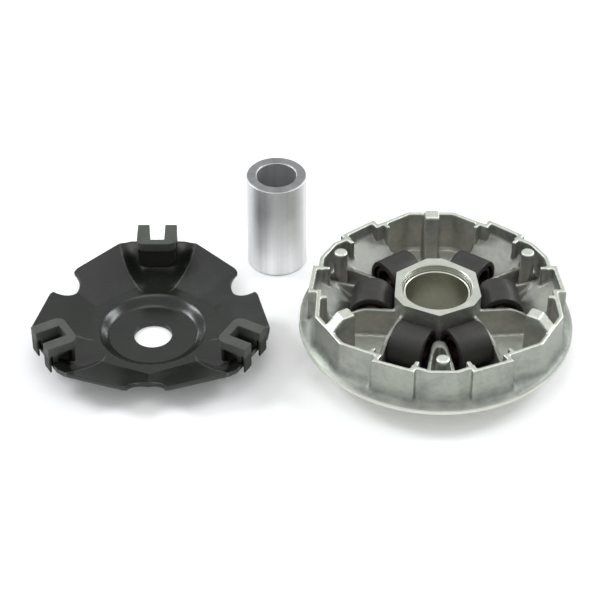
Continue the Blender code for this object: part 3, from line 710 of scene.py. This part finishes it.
def sleeve():
    k = SLEEVE_CH
    lo, hi = 0.0, SLEEVE_L
    side = [(SLEEVE_RO, k + i * (hi - lo - 2 * k) / 12) for i in range(13)]
    prof = ([(SLEEVE_RI + k * 0.9, lo), (SLEEVE_RO - k, lo), (SLEEVE_RO - 0.18, lo + 0.42)] + side
            + [(SLEEVE_RO - 0.18, hi - 0.42), (SLEEVE_RO - k, hi), (SLEEVE_RI + k * 0.9, hi), (SLEEVE_RI, hi - k * 0.9)]
            + [(SLEEVE_RI, hi - k - 3.0), (SLEEVE_RI, lo + k + 3.0), (SLEEVE_RI, lo + k * 0.9)])
    ob = turned("boss_sleeve_turned", prof, 224, [TURNED])
    place(ob, (SLEEVE_X, SLEEVE_Y), 28.0)
    settle(ob, "boss_sleeve", "turned_steel", "boss_sleeve")


def rollers():
    num = 0
    h = ROLLER_L / 2
    ri = ROLLER_R - ROLLER_WALL
    hc = h - 1.2
    for c in SECTORS:
        for s in (-1, 1):
            num += 1
            d = c + s * ROLLER_DIR
            x, y = pol(ROLLER_RHO, d)
            at = Matrix.Translation(((DRIVE_X + x) * MM, (DRIVE_Y + y) * MM, ROLLER_CZ * MM)) @ \
                Matrix.Rotation(math.radians(d + 90.0), 4, "Z") @ Matrix.Rotation(math.radians(90.0), 4, "Y") @ Matrix.Scale(MM, 4)
            prof = ([(ri, -h + 0.5), (ri + 0.5, -h)] + arc(ROLLER_R - 0.9, -h + 0.9, 0.9, -90, 0, 5)
                    + arc(ROLLER_R - 0.9, h - 0.9, 0.9, 0, 90, 5) + [(ri + 0.5, h), (ri, h - 0.5)])
            shell = turned("roller_%d_shell" % num, prof, 112, [NYLON])
            # end faces and bore, for the painted shade on the roller ends
            sc = coords(shell.data)
            end = np.clip((np.abs(sc[:, 2]) - (h - 0.95)) / 0.4, 0, 1)
            end = np.where(np.hypot(sc[:, 0], sc[:, 1]) < ri + 0.6, 1.0, end)
            shell.data.attributes.new("end", "FLOAT", "POINT").data.foreach_set("value", end.astype(np.float32))
            shell.data.transform(at)
            shell.data.shade_smooth()
            shell.data.set_sharp_from_angle(angle=math.radians(30))
            settle(shell, "roller_%d" % num, "roller_nylon", "roller_shell_%d" % num)
            ro = ri - GAP
            prof = [(5.0, -hc + 0.6), (5.6, -hc), (ro - 0.5, -hc), (ro, -hc + 0.5), (ro, hc - 0.5), (ro - 0.5, hc), (5.6, hc), (5.0, hc - 0.6)]
            core = turned("roller_%d_core" % num, prof, 80, [CORE])
            core.data.transform(at)
            core.data.shade_smooth()
            core.data.set_sharp_from_angle(angle=math.radians(30))
            settle(core, "roller_%d" % num, "roller_core", "roller_core_%d" % num)


# ---------------------------------------------------------------- the ramp plate
def smooth(t):
    t = np.clip(t, 0.0, 1.0)
    return t * t * (3.0 - 2.0 * t)


def soft_ramp(d, w):
    return np.where(d <= -w, 0.0, np.where(d >= w, d, (d + w) ** 2 / (4.0 * w)))


def off_from(deg, centres):
    all_ = np.array([(deg - c + 180.0) % 360.0 - 180.0 for c in centres])
    return np.take_along_axis(all_, np.abs(all_).argmin(0)[None], 0)[0]


def plate_height(x, y):
    rho = np.hypot(x, y)
    deg = np.degrees(np.arctan2(y, x))
    dish = RIDGE_H * smooth((rho - DISC_R) / (RIDGE_R - DISC_R))
    t = off_from(deg, SECTORS)
    a = rho * np.cos(np.radians(np.abs(t) - WING_DIR))
    wing = dish + WING_TAN * soft_ramp(a - CREASE_A, 0.9)
    g = off_from(deg, GUIDES)
    lat, rad = rho * np.sin(np.radians(g)), rho * np.cos(np.radians(g))
    half = sum(np.interp(rad + e, [p[0] for p in TROUGH], [p[1] for p in TROUGH]) for e in (-1.5, -0.75, 0.0, 0.75, 1.5)) / 5.0
    u = np.clip(np.abs(lat) / half, 0.0, 1.2)
    mid = RIDGE_H + 0.7 * smooth((rad - 28.0) / 12.0) + (TROUGH_EDGE - RIDGE_H - 0.7) * smooth((rad - 41.0) / (EDGE_R - 40.0))
    v = np.clip(soft_ramp(1.0 - u - 0.03, 0.07) / 0.52, 0.0, 1.0)
    # a knee where the wing breaks into the trough, then a round run-out
    f = np.sin(0.5 * math.pi * v) * 0.55 + smooth(v) * 0.45
    trough = wing + (mid - wing) * f * smooth((rad - 26.0) / 5.0)
    return np.where(rad < 24.0, wing, trough)


def plate_outline(step):
    """Dense outline with its notches, counter-clockwise, corners slightly round."""
    pts = []
    for g in GUIDES:
        right = [(EDGE_R, -EDGE_HALF), (KINK[1], -KINK[0])]
        left = [(EDGE_R, EDGE_HALF), (KINK[1], KINK[0])]
        pts += turn([right[1], right[0], left[0], left[1]], g)
        c = g + 60.0
        chord = LIP_R * math.cos(math.radians(LIP_DEG))
        lip = LIP_R * math.sin(math.radians(LIP_DEG))
        y0 = math.sqrt(NOTCH_R ** 2 - (chord - NOTCH_RHO) ** 2)
        a0 = math.degrees(math.atan2(-y0, chord - NOTCH_RHO))
        n = 60
        bow = [(NOTCH_RHO + NOTCH_R * math.cos(math.radians(a)), NOTCH_R * math.sin(math.radians(a)))
               for a in [(a0 % 360) + ((-a0 % 360) - (a0 % 360)) * i / n for i in range(n + 1)]]
        pts += turn([(chord, -lip)] + bow + [(chord, lip)], c)
    p = np.array(pts)
    q = np.roll(p, -1, 0)
    seg = np.hypot(*(q - p).T)
    cum = np.concatenate([[0], np.cumsum(seg)])
    n = int(cum[-1] / step)
    t = np.arange(n) * cum[-1] / n
    closed = np.vstack([p, p[:1]])
    out = np.stack([np.interp(t, cum, closed[:, k]) for k in (0, 1)], 1)
    for _ in range(int(round(0.9 / step ** 2 * 0.55))):
        out = out + 0.25 * (np.roll(out, 1, 0) + np.roll(out, -1, 0) - 2 * out)
    return out


def plate():
    step = 0.34
    out = plate_outline(step)
    n = len(out)
    tang = np.roll(out, -1, 0) - np.roll(out, 1, 0)
    tang /= np.hypot(*tang.T)[:, None]
    inward = np.stack([-tang[:, 1], tang[:, 0]], 1)
    r_edge = 0.65
    edge_d = [0.0, 0.06, 0.2, 0.42, 0.65, 1.0]
    base = out + inward * edge_d[-1]
    ang = np.arctan2(base[:, 1], base[:, 0])
    rad = np.hypot(*base.T)
    r_hole = 0.5
    hole_d = [0.0, 0.05, 0.16, 0.32, 0.5, 0.8]
    fixed = [HOLE_R + 2.0, HOLE_R + 4.5, 16.0, 18.5] + list(np.arange(19.6, 28.6, 0.42 if step < 0.5 else 0.8))
    span = np.linspace(0, 1, 62 if step < 0.5 else 34)[1:]
    rings = []

    def top_z(x, y, d_edge, d_hole):
        z = PLATE_T + plate_height(x, y)
        drop = lambda d, r: np.where(d < r, r - np.sqrt(np.maximum(r * r - (r - d) ** 2, 0.0)), 0.0)
        return z - drop(d_edge, r_edge) - drop(d_hole, r_hole)

    big = np.full(n, 9.0)
    for d in hole_d:
        r = HOLE_R + d
        x, y = r * np.cos(ang), r * np.sin(ang)
        rings.append((x, y, big, big * 0 + d))
    for r in fixed:
        rings.append((r * np.cos(ang), r * np.sin(ang), big, big))
    r0 = fixed[-1]
    for s in span:
        r = r0 + (rad - r0) * s
        rings.append((r * np.cos(ang), r * np.sin(ang), big if s < 0.999 else big * 0 + edge_d[-1], big))
    for d in reversed(edge_d[:-1]):
        p = out + inward * d
        rings.append((p[:, 0], p[:, 1], big * 0 + d, big))
    m = len(rings)
    X = np.array([r[0] for r in rings]); Y = np.array([r[1] for r in rings])
    DE = np.array([r[2] for r in rings]); DH = np.array([r[3] for r in rings])
    ZT = top_z(X, Y, DE, DH)
    e = 0.25
    gx = (plate_height(X + e, Y) - plate_height(X - e, Y)) / (2 * e)
    gy = (plate_height(X, Y + e) - plate_height(X, Y - e)) / (2 * e)
    thick = PLATE_T * np.where(np.hypot(X, Y) > DISC_R, np.sqrt(1 + gx * gx + gy * gy), 1.0)
    thick = np.minimum(thick, PLATE_T * 1.25)
    top0 = PLATE_T + plate_height(X, Y)
    ZB = top0 - thick + (top0 - ZT)
    ZB = np.maximum(ZB, 0.0)
    V = np.concatenate([np.stack([X, Y, ZT], -1).reshape(-1, 3), np.stack([X, Y, ZB], -1).reshape(-1, 3)])
    idx = np.arange(m * n).reshape(m, n)
    a, b = idx[:-1], idx[1:]
    quads = lambda p, q: np.stack([p, q, np.roll(q, -1, 1), np.roll(p, -1, 1)], -1).reshape(-1, 4)
    F = [quads(a, b), quads(a + m * n, b + m * n)[:, ::-1]]
    hole = idx[0]
    rim = idx[-1]
    F.append(np.stack([hole, np.roll(hole, -1), np.roll(hole, -1) + m * n, hole + m * n], -1))
    F.append(np.stack([rim, rim + m * n, np.roll(rim, -1) + m * n, np.roll(rim, -1)], -1))
    F = np.concatenate(F)
    mesh = bpy.data.meshes.new("ramp_plate_pressed")
    mesh.from_pydata(V.tolist(), [], F.tolist())
    mesh.update()
    mesh.validate()
    ob = bpy.data.objects.new("ramp_plate_pressed", mesh)
    bpy.context.scene.collection.objects.link(ob)
    bm = bmesh.new()
    bm.from_mesh(mesh)
    if bm.calc_volume(signed=True) < 0:
        bmesh.ops.reverse_faces(bm, faces=bm.faces[:])
    bm.to_mesh(mesh)
    bm.free()
    mesh.materials.append(COAT)
    c = coords(mesh)
    g = off_from(np.degrees(np.arctan2(c[:, 1], c[:, 0])), GUIDES)
    rho = np.hypot(c[:, 0], c[:, 1])
    lat, rad_g = np.abs(rho * np.sin(np.radians(g))), rho * np.cos(np.radians(g))
    half = np.interp(rad_g, [p[0] for p in TROUGH], [p[1] for p in TROUGH])
    slope = np.interp(rad_g, [27.0, 34.0, 55.0], [0.80, 0.91, 0.97])
    # a line along the trough's edges, for the painted crease highlight
    line = np.exp(-((lat - half) * slope / 0.42) ** 2) * np.clip((rad_g - 28.0) / 2.0, 0, 1)
    mesh.attributes.new("crease", "FLOAT", "POINT").data.foreach_set("value", line.astype(np.float32))
    print("plate", len(mesh.vertices), "points")
    place(ob, (PLATE_X, PLATE_Y), 50.0)
    settle(ob, "ramp_plate", "black_coat", "ramp_plate")


def slides():
    for i, g in enumerate(GUIDES):
        rr = 4.2
        inner = [(SLIDE_R0 + rr * (1 - math.sin(math.radians(a))), (SLIDE_HALF - rr) + rr * math.cos(math.radians(a)))
                 for a in range(0, 91, 9)]
        head = ([(SLIDE_R1, SLOT_HALF), (SLIDE_R1, SLIDE_HALF)] + inner + [(x, -y) for x, y in reversed(inner)]
                + [(SLIDE_R1, -SLIDE_HALF), (SLIDE_R1, -SLOT_HALF), (SLOT_R, -SLOT_HALF), (SLOT_R, SLOT_HALF)])
        ob = prism(turn(head, g), SLIDE_TOP - SLIDE_SLAB, SLIDE_TOP)
        ob.name = "slide_piece_%d_moulded" % (i + 1)

        def under(points):
            out = []
            for p in points:
                q = turn([p], g)[0]
                out.append(PLATE_T + float(plate_height(np.array([q[0]]), np.array([q[1]]))[0]) + GAP + 0.25)
            return out
        for sgn in (-1, 1):
            leg = [(EDGE_R - 3.2, sgn * (SLOT_HALF + 0.01)), (EDGE_R - 0.7, sgn * (SLOT_HALF + 0.01)),
                   (EDGE_R - 0.7, sgn * (SLIDE_HALF - 0.01)), (EDGE_R - 3.2, sgn * (SLIDE_HALF - 0.01))]
            combine(ob, prism(turn(leg, g), SLIDE_TOP - 1.0, 0.0, tops=under(leg)), "UNION")
            # hook over the plate's edge
            hook = [(EDGE_R + GAP, SLIDE_TOP - 1.0), (EDGE_R + GAP, HOOK_Z + 1.0), (EDGE_R + GAP + 0.3, HOOK_Z), (SLIDE_R1 - 0.4, HOOK_Z),
                    (SLIDE_R1 - 0.01, HOOK_Z + 1.2), (SLIDE_R1 - 0.01, SLIDE_TOP - 1.0)]
            lo, hi = sorted((sgn * (SLOT_HALF + 0.01), sgn * (SLIDE_HALF - 0.01)))
            combine(ob, slab(hook, lo, hi, g), "UNION")
            # deep wall beside the slot
            rads = [WEB_R1 - 0.2 + k * (EDGE_R - 3.0 - WEB_R1 + 0.2) / 8.0 for k in range(9)]
            wall = [(r, sgn * (SLOT_HALF + 0.02)) for r in rads] + [(r, sgn * SLOT_WALL) for r in reversed(rads)]
            combine(ob, prism(turn(wall, g), SLIDE_TOP - 1.0, 0.0, tops=under(wall)), "UNION")
            # web that carries the arch from the leg up to the head
            zt = SLIDE_TOP - SLIDE_SLAB
            web = [(46.8, zt + 0.5), (47.4, zt - 0.2), (49.0, zt - 0.9), (50.8, zt - 1.3), (52.4, zt - 2.0), (53.6, zt - 3.2), (54.4, zt - 4.0),
                   (55.6, zt - 4.0), (55.6, SLIDE_TOP - 1.0), (46.8, SLIDE_TOP - 1.0)]
            web = [(r, max(z, 0.0)) for r, z in web]
            lo, hi = sorted((sgn * (SLOT_HALF + 0.05), sgn * (SLIDE_HALF - 0.5)))
            combine(ob, slab(web, lo, hi, g), "UNION")
        lats = [WEB_HALF * k / 8.0 for k in range(-8, 9)]
        strip = [(WEB_R0, w) for w in lats] + [(WEB_R1, w) for w in reversed(lats)]
        lift = [3.4 * max(0.0, (abs(w) - 3.5) / (WEB_HALF - 3.5)) ** 2 for _, w in strip]
        combine(ob, prism(turn(strip, g), SLIDE_TOP - 1.0, 0.0, tops=[a + b for a, b in zip(under(strip), lift)]), "UNION")
        voxel(ob, 0.22)
        relax(ob, 5, 24, None)
        ob.data.materials.clear()
        ob.data.materials.append(SLIDE)
        # how far below the head a point lies, for the painted shade
        z = coords(ob.data)[:, 2]
        low = np.clip((SLIDE_TOP - SLIDE_SLAB + 0.2 - z) / 1.6, 0, 1)
        ob.data.attributes.new("low", "FLOAT", "POINT").data.foreach_set("value", low.astype(np.float32))
        place(ob, (PLATE_X, PLATE_Y), 60.0)
        settle(ob, "ramp_plate", "slide_plastic", "slide_piece_%d" % (i + 1))


casting()
bush()
sleeve()
rollers()
plate()
slides()


# ---------------------------------------------------------------- floor, light, camera
def stage():
    k = Nodes("floor_paper")
    tone = k.noise(3.0, 2.0, 0.5)
    k.set(Base_Color=k.ramp(tone, [(0.3, (0.90, 0.90, 0.90)), (0.7, (0.93, 0.93, 0.93))]), Roughness=0.85, Specular_IOR_Level=0.1,
          Emission_Color=(1.0, 1.0, 1.0), Emission_Strength=0.08)
    bm = bmesh.new()
    xs = [-6.0, -2.0, -0.7, 0.0, 0.7, 2.0, 6.0]
    grid = [[bm.verts.new((x, y, 0.0)) for y in xs] for x in xs]
    for i in range(len(xs) - 1):
        for j in range(len(xs) - 1):
            bm.faces.new((grid[i][j], grid[i + 1][j], grid[i + 1][j + 1], grid[i][j + 1]))
    mesh = bpy.data.meshes.new("floor")
    bm.to_mesh(mesh)
    bm.free()
    mesh.materials.append(k.m)
    mesh.shade_smooth()
    ob = bpy.data.objects.new("floor", mesh)
    bpy.context.scene.collection.objects.link(ob)


def area(name, at, aim, size, power, colour=(1, 1, 1), size_y=None):
    d = bpy.data.lights.new(name, "AREA")
    d.shape = "RECTANGLE"
    d.size = size
    d.size_y = size_y or size
    d.energy = power
    d.color = colour
    ob = bpy.data.objects.new(name, d)
    bpy.context.scene.collection.objects.link(ob)
    ob.location = at
    ob.rotation_mode = "QUATERNION"
    ob.rotation_quaternion = (Vector(aim) - Vector(at)).to_track_quat("-Z", "Y")


stage()
area("softbox_right", (1.10, 0.42, 1.00), (0, 0, 0.02), 0.56, 8.3, (0.94, 0.97, 1.0), 0.34)
area("softbox_left", (-1.10, 0.38, 1.00), (0, 0, 0.02), 0.56, 9.0, (0.94, 0.97, 1.0), 0.34)
area("softbox_top", (0.0, 0.10, 1.9), (0, 0, 0.0), 0.9, 4.0)
area("strip_back_right", (0.892, 1.142, 0.388), (0, 0, 0.02), 0.34, 1.5, (0.97, 0.985, 1.0), 0.12)
area("strip_back_left", (-0.892, 1.142, 0.388), (0, 0, 0.02), 0.34, 1.5, (0.97, 0.985, 1.0), 0.12)

w = bpy.data.worlds.new("studio")
bpy.context.scene.world = w
w.use_nodes = True
wt = w.node_tree
bg = wt.nodes["Background"]
tc = wt.nodes.new("ShaderNodeTexCoord")
sp = wt.nodes.new("ShaderNodeSeparateXYZ")
wt.links.new(tc.outputs["Generated"], sp.inputs[0])
rp = wt.nodes.new("ShaderNodeValToRGB")
e = rp.color_ramp.elements
for pos, v in ((0.0, 0.42), (0.20, 0.44), (0.46, 1.02), (1.0, 0.95)):
    el = e[0] if pos == 0.0 else (e[1] if pos == 1.0 else e.new(pos))
    el.position = pos
    el.color = (v * 0.985, v * 0.993, v, 1.0)
wt.links.new(sp.outputs[2], rp.inputs["Fac"])
wt.links.new(rp.outputs["Color"], bg.inputs["Color"])
bg.inputs["Strength"].default_value = 1.0

cam = bpy.data.cameras.new("camera")
cam.lens, cam.sensor_width = 123.0, 36.0
cam.clip_start, cam.clip_end = 0.05, 30.0
cam_ob = bpy.data.objects.new("camera", cam)
bpy.context.scene.collection.objects.link(cam_ob)
cam_ob.location = (-0.00128, -0.7655, 0.6511)
cam_ob.rotation_euler = (math.radians(50.5), 0.0, 0.0)
bpy.context.scene.camera = cam_ob
bpy.context.scene.view_settings.view_transform = "Standard"
